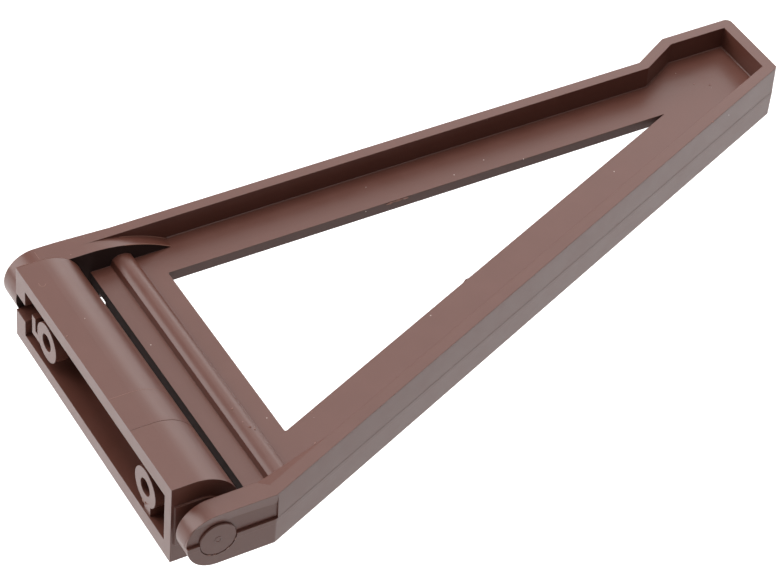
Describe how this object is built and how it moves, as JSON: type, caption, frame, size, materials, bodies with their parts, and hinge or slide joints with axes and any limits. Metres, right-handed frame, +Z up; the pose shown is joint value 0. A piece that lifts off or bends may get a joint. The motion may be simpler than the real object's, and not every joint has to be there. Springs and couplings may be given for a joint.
{
  "type": "folding shelf bracket",
  "caption": "Folding shelf bracket in brown moulded plastic: a hollow D-section wall mount with two screw tubes, and a triangular arm that swings flat against the wall.",
  "frame": {"origin": "on the wall face of the mount, midway between the two screw holes", "axes": "+X away from the wall along the arm, +Z up along the hinge towards the shelf side of the arm, +Y across the arm's thickness"},
  "size_m": [0.2074, 0.0226, 0.1003],
  "materials": {
    "brown_plastic": "satin"
  },
  "bodies": {
    "mount": {"wall_mount": "brown_plastic"},
    "arm": {"swing_arm": "brown_plastic", "hinge_pin": "brown_plastic"}
  },
  "joints": [
    {"name": "arm_swing", "type": "hinge", "parent": "mount", "child": "arm", "pos_m": [0.0076, 0, 0], "axis": [0, 0, 1], "range_deg": [-90, 90]}
  ]
}
